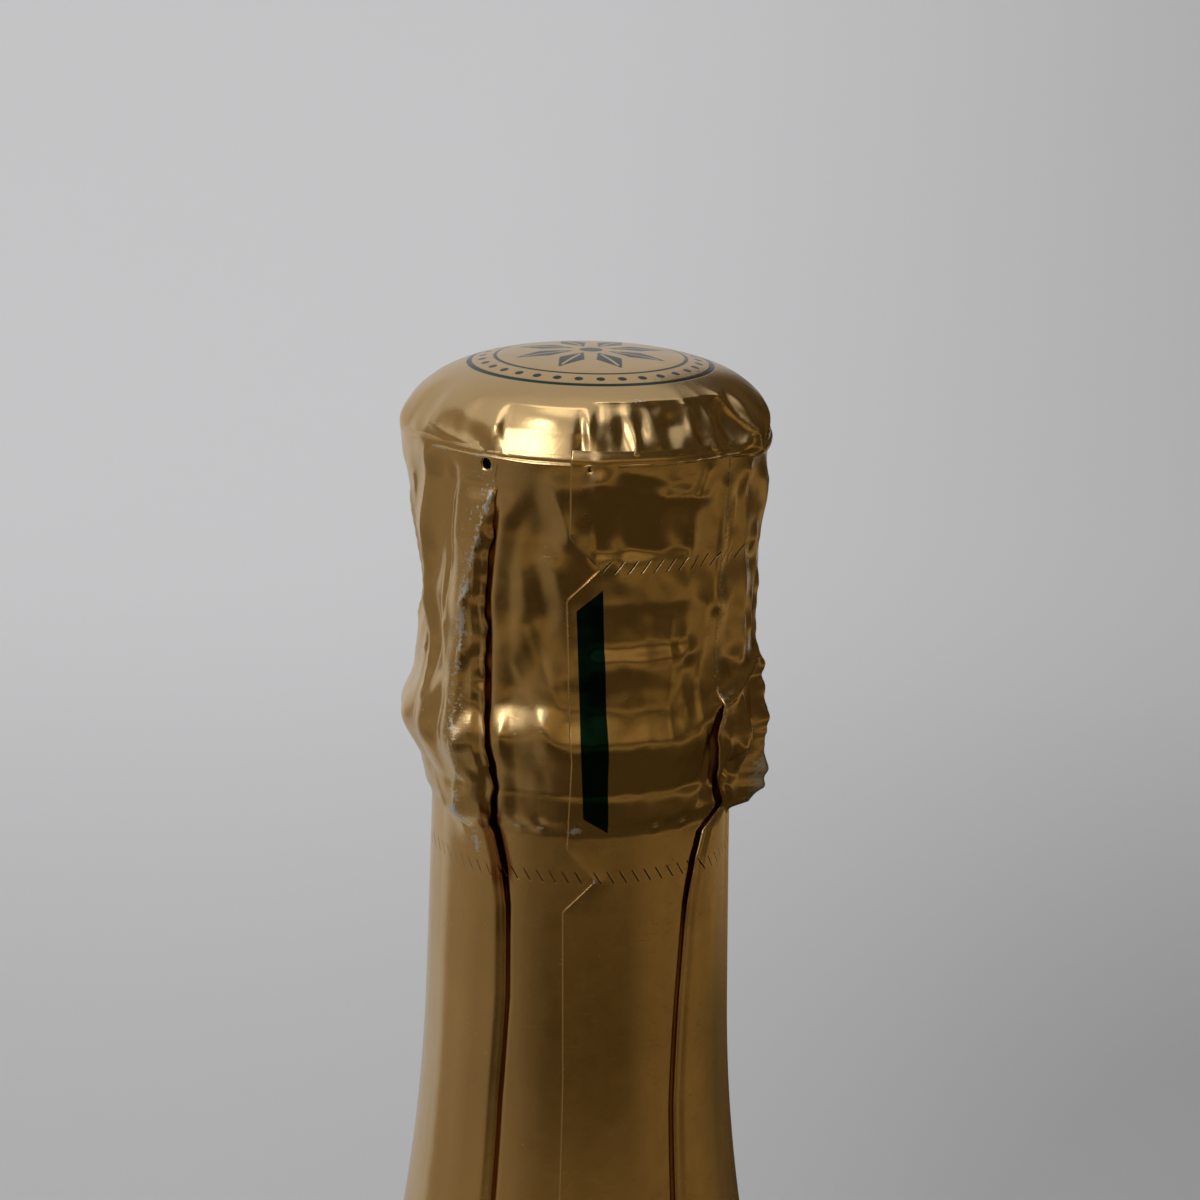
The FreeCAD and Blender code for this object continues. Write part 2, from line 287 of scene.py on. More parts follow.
def stations():
    """The lines down the foil, in their order along the sheet: (bearing, lift, columns up to it, wear)."""
    turned = [(depth, bearing + 360) for depth, bearing in LEFT_EDGE]
    turned_crease = [(depth, bearing + 360) for depth, bearing in LEFT_CREASE]
    left_lift, right_lift, no_lift = follows(LEFT_EDGE_LIFT), follows(RIGHT_EDGE_LIFT), level(0.0)
    return [
        (at(SEAM, 0.25), level(TOP_SHEET - LAP_UNDER), 0, 0.0),
        (at(SEAM), level(TOP_SHEET), 1, 0.5),
        (at(((0, 13), (120, 13))), no_lift, 26, 0.0),
        (at(((0, 32), (120, 30))), no_lift, 27, 0.0),
        (tucked(RIGHT_EDGE, right_lift, 5.0, RIGHT_WAVER, 7.0), raised(right_lift, UNDER_SHARE), 25, 0.0),
        (at(RIGHT_EDGE, 0.35, RIGHT_WAVER, 7.0), raised(right_lift, 1.0, 2 * EDGE_ROUND), 6, 0.0),
        (at(RIGHT_EDGE, 0.0, RIGHT_WAVER, 7.0), raised(right_lift, 1.0, EDGE_ROUND), 1, 0.6),
        (at(RIGHT_EDGE, 0.5, RIGHT_WAVER, 7.0), raised(right_lift, 1.0), 1, 0.8),
        (at(RIGHT_CREASE), follows(RIGHT_CREASE_LIFT), 14, 0.2),
        (at(FIN_BEARING, -5), no_lift, 24, 0.0),
        (at(FIN_BEARING, -0.8), raised(fin_lift, FIN_SHARE), 7, 0.3),
        (at(FIN_BEARING), fin_lift, 1, 1.0),
        (at(FIN_BEARING, 0.8), raised(fin_lift, FIN_SHARE), 1, 0.3),
        (at(FIN_BEARING, 5), no_lift, 7, 0.0),
        (at(((0, 128), (120, 126))), level(0.45), 24, 0.1),
        (at(((0, 132), (120, 130))), level(0.3), 3, 0.4),
        (at(((0, 130), (120, 128))), level(0.05), 2, 0.0),
        (at(((0, 180), (120, 180))), no_lift, 26, 0.0),
        (at(((0, 232), (120, 228))), level(0.4), 28, 0.1),
        (at(((0, 236), (120, 232))), level(0.3), 3, 0.4),
        (at(((0, 234), (120, 230))), level(0.05), 2, 0.0),
        (at(((0, 268), (120, 268))), no_lift, 24, 0.0),
        (at(((0, 296), (120, 296))), no_lift, 36, 0.0),
        (at(turned_crease, 0.0, 0.9, 2.0), follows(LEFT_CREASE_LIFT), 30, 0.75),
        (at(turned, -0.5, LEFT_WAVER, 5.0), raised(left_lift, 1.0), 10, 0.25),
        (at(turned, 0.0, LEFT_WAVER, 5.0), raised(left_lift, 1.0, EDGE_ROUND), 1, 0.7),
        (at(turned, -0.35, LEFT_WAVER, 5.0), raised(left_lift, 1.0, 2 * EDGE_ROUND), 1, 0.0),
        (tucked(turned, left_lift, -5.0, LEFT_WAVER, 5.0), raised(left_lift, UNDER_SHARE), 6, 0.0),
        (at(((0, 345), (120, 345))), no_lift, 22, 0.0),
        (at(((0, 369), (120, 369))), level(-0.04), 30, 0.0),
    ]


# ---------------------------------------------------------------- the hood's dents

CRUMPLED_TO = 52.0
GLASS_GAP = 0.24
HOOD_ENDS = (30, 35.4)
SIDE_FROM = (32, 60)
RIM_SMOOTH = (0.6, 3.5)
HOOD_WAVES = (
    # (kind, height in front, more at the sides, millimetres across, millimetres down, seed)
    (crumple, 0.20, 0.75, 6.5, 13.0, 0.3),
    (ripple, 0.20, 0.25, 3.2, 5.0, 7.7),
    (ripple, 0.07, 0.0, 1.5, 1.9, 5.1),
)
NECK_WAVE = (0.05, 0.10, 4.0, 34.0, 3.3)
# down the front, right of the lap: (depth, height) stops, and the window they show in
FRONT_WAVE = (
    (1.2, 0.15), (3, 0.05), (8.5, -0.5), (9.3, -0.28), (13.4, 0.1), (17, -0.28), (17.6, -0.24),
    (18.6, 0.16), (19.4, 0.18), (23.8, -0.26), (24.6, -0.22), (26.4, 0),
)
FRONT_WAVE_ACROSS = (4, 34, 3.5)
# the row of nips where the foil is pressed in under the ring, each with a lip below it
NIPS = (-23, -14.6, -1, 29, 41)
NIP_PRESS = (34.4, 2, 0.4, 0.16)
NIP_LIP = (35.1, 2.2, 0.35, 0.16)
SWELLS = (
    # (bearing, depth, degrees across, millimetres down, height), first the wire's twisted end on the left
    (-80, 26.5, 22, 4.6, 1), (-90, 0, 26, 5, 0.75), (-88, 14.5, 22, 5.5, -0.55),
    (-66, 23, 5, 3.5, 0.45), (-57, 27, 5, 5, 0.35),
    # under the rim: a bulge about the small vent, and a ridge beside the lap
    (4, 2.1, 4.5, 1.3, 0.55), (-9, 2.2, 7, 1.1, 0.2), (-16, 6, 7, 3.5, -0.42), (-6, 6, 4, 4, 0.16),
    (15, 8, 4, 1, -0.16), (9, 8.6, 2.2, 1.4, 0.16), (25, 5, 4, 3.5, 0.26), (13, 5.5, 5, 2.2, -0.2),
    # between the left fold and the lap
    (-9, 10.6, 5, 2.2, 0.36), (-13, 14.4, 6, 2.8, -0.42), (-20, 13, 5, 8, 0.34),
    (-9, 22.5, 4.5, 3.6, 0.26), (-26, 25.8, 1.8, 1.2, 0.3), (-20, 20.5, 5, 4, -0.4),
    (-14, 25.2, 8, 1.7, 0.3),
    # the small pointed dent and the hollows on the right
    (38, 18.4, 2.6, 1, 0.32), (41, 21.5, 3.5, 2.6, -0.34), (46, 25.2, 4.5, 1.4, 0.3),
    (40, 26, 2.4, 1.2, 0.2), (36, 8, 4, 4.5, 0.24), (57, 12, 4.5, 6, -0.45),
    (64, 17, 4, 5, 0.4), (70, 9.2, 3.2, 1.3, 0.5), (60, 21, 5, 2, -0.4),
    (63, 28, 5, 2.4, 0.35), (70, 31.5, 4, 2.2, -0.3), (57.5, 30.4, 2.2, 1.1, -1.5),
    (60, 28.8, 2, 0.8, 0.5),
    # left of the left fold
    (-50, 8, 4, 6, -0.5), (-62, 9, 4, 8, 0.35), (-72, 14, 4.5, 7, -0.5),
    (-56, 17, 3.5, 5, -0.45), (-50, 14, 2.4, 8, 0.3), (-49, 24, 3, 4, -0.35),
)
CREASES = (
    # (start, end, width, height), each end a (bearing, depth)
    ((31, 14.5), (31, 26.5), 0.3, 0.08), ((48.6, 3), (48.6, 14.5), 0.35, 0.3),
    ((44, 14), (42.5, 25), 0.8, 0.3), ((60, 2), (66, 20), 0.9, 0.45), ((77, 4), (74, 18), 0.8, 0.4),
    ((50.4, 23.8), (80, 21.2), 0.9, 1), ((51, 25), (54, 32), 0.5, 0.35), ((62, 24), (66, 33), 1.2, 0.5),
    ((46, 26), (49, 33.5), 0.9, -0.45), ((-24, 19), (-8, 26.6), 1.4, 0.24),
    ((-19, 15.5), (-5.5, 24.5), 1.3, -0.26), ((-10, 3.2), (-4.8, 6.8), 0.8, 0.22),
    ((-5, 7.2), (3.5, 10.2), 0.6, 0.12), ((-58, 1), (-66, 20), 0.8, 0.5), ((-46, 2), (-50, 16), 0.6, -0.35),
    ((-70, 4), (-60, 24), 1, 0.45), ((-63, 30), (-47, 36), 0.8, 0.35), ((-76, 6), (-84, 18), 0.8, 0.4),
    ((12, 1), (33, 2.4), 0.6, 0.12), ((36, 4), (40, 1.2), 0.5, 0.3), ((24, 3.4), (40, 3.8), 0.6, 0.2),
)
# windows as (start, end, soft): across in degrees from an edge or crease, down in millimetres
FOLD_RISE = 0.34
FOLD_RISE_ACROSS = (1.5, 2, 7)
FOLD_RISE_DOWN = (6, 33, 3)
FOLD_DIP = 0.30
LEFT_DIP_ACROSS = (-2, 0.6, 1.5)
LEFT_DIP_FROM = (3.5, 6)
RIGHT_DIP_ACROSS = (-2, 0.8, 2)
RIGHT_DIP_FROM = (23, 26)
STRIP_CRUMPLE = 0.34
STRIP_WAVES = (1.3, 1.9, 2.9)
STRIP_PAST_CREASE = (0.5, 20, 1.5)
STRIP_BEFORE_EDGE = (0, 20, 1)
STRIP_DOWN = (6, 34.5, 2)


def folded_relief(bearing, depth):
    """How the foil rises towards each fold's free edge, dips under it, and crumples along the left fold."""
    past_left = turn_between(bearing, along(LEFT_EDGE, depth))
    before_right = turn_between(along(RIGHT_EDGE, depth), bearing)
    past_crease = turn_between(bearing, along(LEFT_CREASE, depth))
    out = FOLD_RISE * window(past_left, *FOLD_RISE_ACROSS) * window(depth, *FOLD_RISE_DOWN)
    out -= FOLD_DIP * window(past_left, *LEFT_DIP_ACROSS) * ease(*LEFT_DIP_FROM, depth)
    out -= FOLD_DIP * window(before_right, *RIGHT_DIP_ACROSS) * ease(*RIGHT_DIP_FROM, depth)
    strip = window(past_crease, *STRIP_PAST_CREASE) * window(-past_left, *STRIP_BEFORE_EDGE)
    return out + STRIP_CRUMPLE * strip * window(depth, *STRIP_DOWN) * ripple(bearing, depth, *STRIP_WAVES)


def hood_relief(bearing, depth):
    """The dents, creases and crumples of the hood, in millimetres outwards."""
    hood = 1 - ease(*HOOD_ENDS, depth)
    neck = 1 - hood
    side = ease(*SIDE_FROM, abs(turn_between(bearing, 0)))
    rim = ease(*RIM_SMOOTH, depth)
    out = 0.0
    for kind, front, more, across, down, seed in HOOD_WAVES:
        out += hood * rim * (front + more * side) * kind(bearing, depth, across, down, seed)
    front, more, across, down, seed = NECK_WAVE
    out += neck * (front + more * side) * ripple(bearing, depth, across, down, seed)
    out += folded_relief(bearing, depth)
    if depth > CRUMPLED_TO:
        return out
    for middle, below, across, down, height in SWELLS:
        out += swell(bearing, depth, middle, below, across, down, height)
    for start, end, width, height in CREASES:
        out += crease(bearing, depth, start, end, width, height)
    out += along(FRONT_WAVE, depth) * window(turn_between(bearing, 0), *FRONT_WAVE_ACROSS)
    for place in NIPS:
        out -= swell(bearing, depth, place, *NIP_PRESS)
        out += swell(bearing, depth, place, *NIP_LIP)
    return out


# ---------------------------------------------------------------- the hood's wear, and painted shade in its gaps

WORN_AND_SHADED = (
    # (bearing, depth, degrees across, millimetres down, wear), and below zero painted shade inside a pierced
    # place
    (-45, 34.4, 2.2, 0.8, 0.7), (85, 33.2, 7.5, 2.8, 1.75), (57.5, 30.4, 2.0, 1.0, -1.8),
    (80, 21.6, 5, 0.6, 0.6), (58, 34, 5, 0.4, 0.6), (6, 40, 1.5, 0.5, 0.7), (-40, 37.5, 2, 1.2, 0.4),
)
NIP_WEAR = (35.05, 2.2, 0.24, 1.5)
NECK_CLEAN = 0.75
NECK_CLEAN_FROM = (36, 42)
# painted shade beside the folds: how far it reaches past an edge, and how deep it is from one depth on
PAINTED_SHADE_ACROSS = (-3, 0.4, 1.6)
LEFT_PAINTED_SHADE = ((0.1, 5, 8), (0.4, 22, 30))
RIGHT_PAINTED_SHADE = (0.5, 25, 28)
SHADED_POCKET_ACROSS = (-3, 2.6, 2.4)
SHADED_POCKET_DOWN = (35, 39, 3)
PAST_EDGE = 0.4
NECK_PAINTED_SHADE_LESS = 0.5
NECK_PAINTED_SHADE_FROM = (42, 52)
CREASE_WEAR_WIDTH = 0.8
CREASE_WEAR_DOWN = (4, 35, 0.8)
CREASE_WEAR = (0.26, 0.6)
CREASE_WEAR_GRAIN = 1.8
CREASE_WEAR_LESS = 0.6
CREASE_WEAR_LESS_FROM = (14, 24)


def worn_edge_and_painted_shade(bearing, depth):
    """Bare metal in streaks along the left fold's crease, and below zero painted shade beside the folds."""
    past_left = turn_between(bearing, along(LEFT_EDGE, depth))
    before_right = turn_between(along(RIGHT_EDGE, depth), bearing)
    painted_shade = 0.0
    if past_left > PAST_EDGE or before_right > PAST_EDGE:
        deep = sum(strength * ease(start, end, depth) for strength, start, end in LEFT_PAINTED_SHADE)
        painted_shade = window(past_left, *PAINTED_SHADE_ACROSS) * deep
        painted_shade += window(past_left, *SHADED_POCKET_ACROSS) * window(depth, *SHADED_POCKET_DOWN)
        strength, start, end = RIGHT_PAINTED_SHADE
        painted_shade += strength * window(before_right, *PAINTED_SHADE_ACROSS) * ease(start, end, depth)
        painted_shade = min(1.0, painted_shade) * (1 - NECK_PAINTED_SHADE_LESS * ease(*NECK_PAINTED_SHADE_FROM, depth))
    aside = turn_between(bearing, along(LEFT_CREASE, depth)) / CREASE_WEAR_WIDTH
    streak = math.exp(-aside * aside) * window(depth, *CREASE_WEAR_DOWN) if abs(aside) < 3 else 0.0
    shaken = noise.noise(Vector((depth / CREASE_WEAR_GRAIN, 8.2, 0.3)))
    least, more = CREASE_WEAR
    fewer = 1 - CREASE_WEAR_LESS * ease(*CREASE_WEAR_LESS_FROM, depth)
    return streak * (least + more * shaken) * fewer - painted_shade


# ---------------------------------------------------------------- the hood's sheet

TOP_ROW = -0.9
ROW_STEPS = ((44.0, 0.3), (84.0, 0.62), (FOIL_LENGTH, 1.3))
TOP_TUCK = 0.5
TOP_TUCK_ENDS = -0.1
VENTS = ((-32.4, 0.95, 0.56), (0.9, 0.85, 0.22))
VENT_LIP = 0.35
SLIVER = 0.0025
# how far round a vent the sheet is looked at, cut and drawn up to its rim, as shares of the vent's radius
VENT_REACH = 3
VENT_CUT = 0.8
VENT_DRAWN = 2


def row_depths():
    """The depths of the sheet's rows, closer together where the foil is crumpled."""
    depths = [TOP_ROW]
    for end, step in ROW_STEPS:
        count = round((end - depths[-1]) / step)
        start = depths[-1]
        depths += [start + (end - start) * index / count for index in range(1, count + 1)]
    return depths


def columns():
    """Every column of the sheet as (station before, station after, share of the way)."""
    spans = [(0, 0, 0.0)]
    for index, (_, _, count, _) in enumerate(stations()[1:], start=1):
        spans += [(index - 1, index, step / count) for step in range(1, count + 1)]
    return spans


def foil_hood():
    """One sheet of foil wrapped about the neck, pleated, lapped at the front and open at both ends."""
    rows, spans, lines = row_depths(), columns(), stations()
    bm = bmesh.new()
    bmesh.ops.create_grid(bm, x_segments=len(spans) - 1, y_segments=len(rows) - 1, size=1.0)
    sheet_map = bm.loops.layers.uv.new("sheet")
    wear_and_shade_layer = bm.verts.layers.float.new("wear")
    table = []
    for depth in rows:
        table.append([(place(depth), lift(depth)) for place, lift, _, _ in lines])
    where = {}
    for vertex in bm.verts:
        column = round((vertex.co.x + 1) / 2 * (len(spans) - 1))
        row = len(rows) - 1 - round((vertex.co.y + 1) / 2 * (len(rows) - 1))
        before, after, share = spans[column]
        depth = rows[row]
        bearing = table[row][before][0] * (1 - share) + table[row][after][0] * share
        lift = table[row][before][1] * (1 - share) + table[row][after][1] * share
        radius = hood_radius(depth) + lift + hood_relief(bearing, depth)
        radius -= TOP_TUCK * (1 - ease(TOP_ROW, TOP_TUCK_ENDS, depth))
        if depth > RING[-1][0]:
            radius = max(radius, hood_radius(depth) - GLASS_GAP)
        vertex.co = polar(bearing, radius, RIM_HEIGHT - depth)
        wear = lines[before][3] * (1 - share) + lines[after][3] * share
        wear *= 1 - NECK_CLEAN * ease(*NECK_CLEAN_FROM, depth)
        # the wear attribute also carries painted shade: below zero it darkens the gold beside the folds and
        # inside the pierced place
        wear += worn_edge_and_painted_shade(bearing, depth) + sum(swell(bearing, depth, *spot) for spot in WORN_AND_SHADED)
        vertex[wear_and_shade_layer] = wear + sum(swell(bearing, depth, place, *NIP_WEAR) for place in NIPS)
        where[vertex.index] = (bearing, depth)
    for face in bm.faces:
        for loop in face.loops:
            bearing, depth = where[loop.vert.index]
            loop[sheet_map].uv = (bearing * math.radians(HOOD_RADIUS), depth)
    for bearing, depth, size in VENTS:
        punch(bm, polar(bearing, hood_radius(depth), RIM_HEIGHT - depth), size * MM)
    bmesh.ops.dissolve_degenerate(bm, dist=SLIVER * MM, edges=bm.edges)
    return made(bm, "foil_hood")


def punch(bm, centre, size):
    """Punches a round hole through the sheet, with its lip turned in."""
    out = Vector((centre.x, centre.y, 0)).normalized()

    def gap(place):
        offset = place - centre
        return (offset - out * offset.dot(out)).length

    near = [face for face in bm.faces if (face.calc_center_median() - centre).length < VENT_REACH * size]
    inside = [face for face in near if gap(face.calc_center_median()) < VENT_CUT * size]
    bmesh.ops.delete(bm, geom=inside, context="FACES")
    cut = [edge for edge in bm.edges if edge.is_boundary]
    cut = [edge for edge in cut if (edge.verts[0].co - centre).length < VENT_REACH * size]
    ring = [edge for edge in cut if gap(edge.verts[0].co) < VENT_DRAWN * size]
    for vertex in {vertex for edge in ring for vertex in edge.verts}:
        offset = vertex.co - centre
        aside = offset - out * offset.dot(out)
        vertex.co += aside.normalized() * (size - aside.length)
    grown = bmesh.ops.extrude_edge_only(bm, edges=ring)["geom"]
    lip = [item for item in grown if isinstance(item, bmesh.types.BMVert)]
    bmesh.ops.translate(bm, verts=lip, vec=out * -VENT_LIP * MM)


def polar(bearing, radius, height):
    """A place in metres from a bearing in degrees and two lengths in millimetres."""
    turn = math.radians(bearing)
    return Vector((radius * math.sin(turn), -radius * math.cos(turn), height)) * MM


def made(bm, name):
    """Turns a bmesh into a smooth object at the origin."""
    mesh = bpy.data.meshes.new(name)
    bm.to_mesh(mesh)
    bm.free()
    mesh.polygons.foreach_set("use_smooth", [True] * len(mesh.polygons))
    piece = bpy.data.objects.new(name, mesh)
    bpy.context.scene.collection.objects.link(piece)
    return piece


# ---------------------------------------------------------------- the cap

CAP_ROWS = 96
CAP_COLUMNS = 440
# the dome's section is a little boxier than an ellipse
DOME_ACROSS = 2 / 2.3
DOME_UP = 2 / 2.6
CAP_INSET = 0.55
DOME_INSET = 0.1
# the share of the rows above the rim, and how the turned edge below it stands out, turns in and hangs
RIM_SHARE = 0.86
EDGE_OUT = 0.30
EDGE_IN = 0.35
EDGE_IN_FROM = 0.88
EDGE_BOTTOM = 0.9
EDGE_WEAR = 0.55
EDGE_HANG = 0.36
EDGE_WAVER = 0.14
EDGE_WAVES = (3.0, 1.0, 21.0)
EDGE_DROPS = ((72, 0, 18, 1, 0.75), (12, 0, 22, 1, 0.15))
EDGE_CALM = 0.75
APEX_CALM = (0.3, 0.6)
CAP_SIDE = (3.6, 5.2)
DENTED_ACROSS = (4, 58, 5)
DENTED_UP = (0.3, 4.7, 0.2)
PRESSED_ACROSS = (-27, -3, 4.0)
PRESSED_UP = (-2, 4.2, 0.3)
CAP_CRUMPLE = (1.7, 5.0, 4.2)
CAP_WAVES = (5.0, 5.0, 11.1)
CAP_SMALL_WAVES = (1.5, 2.6, 9.4)
PRESSED_FRONT = ((0, 16.95), (2.3, 15.95), (4.4, 14.6))
PRESSED_RIGHT = ((0, 17.0), (0.5, 16.8), (4.3, 14.15), (4.8, 13.85))
CAP_SWELLS = (
    # (bearing, height, degrees across, millimetres up, how far out)
    (-13, 3.5, 8, 0.9, 0.22), (-1.5, 1.6, 1.8, 1.6, -0.4), (3.2, 1.8, 1.6, 1.6, 0.25),
    (5.5, 3.4, 3, 0.8, 0.22), (11, 2.2, 2.2, 1.5, -0.32), (15, 1.6, 1.2, 1.2, 0.25),
    (18, 2.6, 2, 1, -0.28), (24, 1.4, 3, 0.9, 0.18), (29, 2.7, 4, 1, -0.3),
    (36, 2.4, 1.4, 1.4, 0.35), (40, 1.7, 2, 1.5, -0.35), (45, 2.6, 1.8, 1.6, 0.4),
    (51, 2, 2.2, 1.6, -0.45), (-52, 2.2, 13, 1.9, -0.35), (-90, 0, 26, 2.5, 0.7),
    (-38, 1.2, 4, 1.4, -0.3), (-44, 3.6, 5, 1, 0.2), (-66, 3.4, 5, 1.6, -0.3),
    (-80, 1, 6, 1.6, 0.3), (80, 2, 6, 2, 0.25),
)
CAP_CREASES = (
    # (start, end, width, how far out), each end a (bearing, height)
    ((54, 4.6), (66, -0.6), 0.6, 0.65), ((77, 3.6), (68, -0.6), 0.5, 0.55),
    ((36, 4.4), (43, 0.4), 0.4, 0.35), ((-30, 2.6), (-26, 0.2), 0.35, 0.18),
    ((62, 1.5), (52, -0.4), 0.4, 0.35), ((-60, 1.6), (-33, 0.1), 0.5, 0.22),
)
CAP_WORN = (
    # (bearing, height, degrees across, millimetres up, wear)
    (-52, -0.6, 9, 0.7, 0.75), (-34, -0.5, 4, 0.8, 0.8), (18, 4.8, 4, 0.2, 0.9), (31, 4.85, 3, 0.2, 0.8),
    (-88, 0.4, 10, 1.2, 0.9), (72, -0.6, 12, 0.6, 0.6), (40, 4.75, 2, 0.2, 0.7),
)


def cap_outline(share):
    """(radius, height above the rim) at a share of the way from the apex down to the cap's edge."""
    angle = share * math.pi / 2
    across = math.sin(angle) **DOME_ACROSS
    up = max(0.0, math.cos(angle)) **DOME_UP
    return (RIM_RADIUS - CAP_INSET) * across, (DOME_RISE - DOME_INSET) * up


def cap_relief(bearing, radius, height):
    """The cap's crumples, in millimetres outwards: smooth on top, dented down its turned side."""
    turn = turn_between(bearing, 0)
    side = 1 - ease(*CAP_SIDE, height)
    dented = window(turn, *DENTED_ACROSS)
    # the side is pressed flat over the lap and leans in under a sharp crease on the right
    flat = window(turn, *PRESSED_ACROSS) * window(height, *PRESSED_UP)
    out = flat * (along(PRESSED_FRONT, height) - radius)
    out += dented * window(height, *DENTED_UP) * (along(PRESSED_RIGHT, height) - radius)
    out += side * dented * 0.30 * crumple(bearing, height, *CAP_CRUMPLE)
    out += side * (1 - flat) * 0.22 * ripple(bearing, height, *CAP_WAVES)
    out += side * (1 - flat) * (0.10 + 0.15 * dented) * ripple(bearing, height, *CAP_SMALL_WAVES)
    for middle, up, across, tall, bump in CAP_SWELLS:
        out += swell(bearing, height, middle, up, across, tall, bump)
    for start, end, width, bump in CAP_CREASES:
        out += crease(bearing, height, start, end, width, bump)
    return out


def cap_edge(bearing):
    """How far the turned-down edge hangs below the rim, in millimetres."""
    waver = EDGE_WAVER * ripple(bearing, 0.0, *EDGE_WAVES)
    return EDGE_HANG + waver + sum(swell(bearing, 0, *drop) for drop in EDGE_DROPS)


def foil_cap():
    """The hood's top: a stamped dome whose side is pressed down in folds and turned in at its edge."""
    bm = bmesh.new()
    bmesh.ops.create_grid(bm, x_segments=CAP_COLUMNS, y_segments=CAP_ROWS, size=1.0)
    wear_and_shade_layer = bm.verts.layers.float.new("wear")
    for vertex in bm.verts:
        bearing = (vertex.co.x + 1) * 180 - 180
        share = (1 - vertex.co.y) / 2
        dome_share = min(1.0, share / RIM_SHARE)
        radius, height = cap_outline(dome_share)
        wear = 0.0
        if share > RIM_SHARE:
            drop = (share - RIM_SHARE) / (1 - RIM_SHARE)
            hang = cap_edge(bearing)
            radius += EDGE_OUT * ease(0, 0.6, drop) - EDGE_IN * ease(EDGE_IN_FROM, 1.0, drop)
            height = -hang * min(1.0, drop / EDGE_BOTTOM)
            wear = EDGE_WEAR * ease(0.5, EDGE_BOTTOM, drop)
        outwards = cap_relief(bearing, radius, height) * (1 - EDGE_CALM * ease(RIM_SHARE, 1.0, share))
        radius += outwards * ease(*APEX_CALM, dome_share)
        vertex.co = polar(bearing, radius, RIM_HEIGHT + height)
        vertex[wear_and_shade_layer] = wear + sum(swell(bearing, height, *spot) for spot in CAP_WORN)
    bmesh.ops.remove_doubles(bm, verts=bm.verts, dist=0.0005 * MM)
    bmesh.ops.recalc_face_normals(bm, faces=bm.faces)
    return made(bm, "foil_cap_printed")


# ---------------------------------------------------------------- glass and label

def spun(outline, name, steps=160):
    """Spins a (radius, height) outline about the axis into a closed shape."""
    bm = bmesh.new()
    verts = [bm.verts.new((radius * MM, 0, height * MM)) for radius, height in outline]
    edges = [bm.edges.new(pair) for pair in zip(verts, verts[1:])]
    bmesh.ops.spin(
        bm, geom=verts + edges, axis=(0, 0, 1), cent=(0, 0, 0), angle=math.tau, steps=steps, use_merge=True
    )
    bmesh.ops.remove_doubles(bm, verts=bm.verts, dist=0.001 * MM)
    bmesh.ops.recalc_face_normals(bm, faces=bm.faces)
    return made(bm, name)


def arc(centre, radius, start, end, count):
    """Points on an arc about a (radius, height) centre, between two angles in degrees from outwards to up."""
    points = []
    for index in range(count + 1):
        angle = math.radians(start + (end - start) * index / count)
        points.append((centre[0] + radius * math.cos(angle), centre[1] + radius * math.sin(angle)))
    return points


SHOULDER_ROUND = 55.0
SHOULDER_HEIGHT = 147.8
COVERED_TOP = 300.0
LABEL_GAP = 0.06
# arcs as (centre, radius, start, end, count)
PUNT = ((0, 16), 15, 90, 39.3, 8)
FOOT = ((33.7, 2.5), 2.5, 219, 270, 6)
HEEL_ROUND = 9
FLARE_ENDS = 181.2
HEAD = ((13.95, 277), (13.7, 296), (13.7, COVERED_TOP), (0, COVERED_TOP))


def glass_outline():
    """The bottle's outer face from the punt's top round the foot and up to the covered lip."""
    body = BODY_RADIUS - LABEL_GAP
    shoulder_centre = body - SHOULDER_ROUND
    lean = math.degrees(math.atan2(FLARE_CENTRE[1] - SHOULDER_HEIGHT, FLARE_CENTRE[0] - shoulder_centre))
    heel = arc((body - HEEL_ROUND, HEEL_ROUND), HEEL_ROUND, 270, 360, 12)
    shoulder = arc((shoulder_centre, SHOULDER_HEIGHT), SHOULDER_ROUND, 0, lean, 20)
    flare = arc(FLARE_CENTRE, FLARE_ROUND, 180 + lean, FLARE_ENDS, 28)[1:]
    return arc(*PUNT) + arc(*FOOT) + heel + shoulder + flare + list(HEAD)


def glass_bottle():
    """The bottle as one closed outer shell."""
    return spun(glass_outline(), "glass_bottle")


# ---------------------------------------------------------------- materials


class Value:
    """A number's socket in a material, with arithmetic that adds Math nodes."""

    def __init__(self, recipe, socket):
        self.recipe = recipe
        self.socket = socket

    def math(self, operation, *others):
        node = self.recipe.node("ShaderNodeMath", {"operation": operation}, {})
        for place, value in enumerate((self, *others)):
            self.recipe.feed(node.inputs[place], value)
        return Value(self.recipe, node.outputs[0])

    def __add__(self, other):
        return self.math("ADD", other)

    def __sub__(self, other):
        return self.math("SUBTRACT", other)

    def __rsub__(self, other):
        return (self * -1.0) + other

    def __mul__(self, other):
        return self.math("MULTIPLY", other)

    def __truediv__(self, other):
        return self.math("DIVIDE", other)

    def __abs__(self):
        return self.math("ABSOLUTE")

    __radd__ = __add__
    __rmul__ = __mul__

    def most(self, other):
        return self.math("MAXIMUM", other)

    def least(self, other):
        return self.math("MINIMUM", other)

    def fraction(self):
        return self.math("FRACT")

    def rises(self, near, far):
        """0 below near, 1 above far and soft between. near may be above far."""
        low, high, start, end = (near, far, 0.0, 1.0) if near < far else (far, near, 1.0, 0.0)
        node = self.recipe.node(
            "ShaderNodeMapRange",
            {"interpolation_type": "SMOOTHSTEP"},
            {"Value": self, "From Min": low, "From Max": high, "To Min": start, "To Max": end},
        )
        return Value(self.recipe, node.outputs[0])


